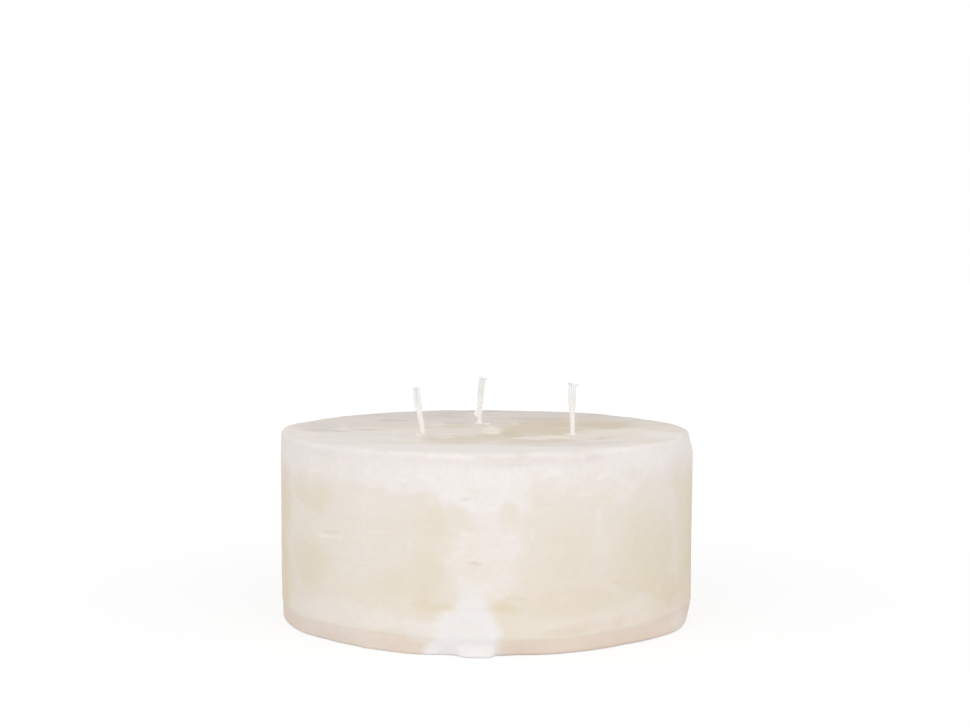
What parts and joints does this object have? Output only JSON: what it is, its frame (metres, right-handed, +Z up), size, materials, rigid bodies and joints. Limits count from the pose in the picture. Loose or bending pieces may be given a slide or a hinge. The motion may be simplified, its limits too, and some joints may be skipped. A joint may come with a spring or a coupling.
{
  "type": "pillar candle",
  "caption": "Broad round pillar candle of mottled ivory wax, with plaited cotton wicks standing out of its flat top. It stands on its flat foot and gives light.",
  "frame": {"origin": "centre of the foot, on the surface that the candle stands on", "axes": "+Z up along the candle's axis, -Y towards the viewer of the picture, +X to the right"},
  "size_m": [0.15, 0.15, 0.0857],
  "materials": {
    "wax": "mottled ivory candle wax with white frost patches, satin and a little translucent",
    "base_wax": "plain, slightly darker ivory candle wax, satin",
    "seal_wax": "pale ivory candle wax, satin",
    "cotton": "plaited white cotton, primed with wax",
    "tinplate": "bright stamped tinplate"
  },
  "bodies": {
    "root": {"wax_body": "wax", "base_layer": "base_wax", "wick_left": "cotton", "wick_rear": "cotton", "wick_right": "cotton", "wick_seal_left": "seal_wax", "wick_seal_rear": "seal_wax", "wick_seal_right": "seal_wax", "wick_tab_left": "tinplate", "wick_tab_rear": "tinplate", "wick_tab_right": "tinplate"}
  },
  "joints": []
}
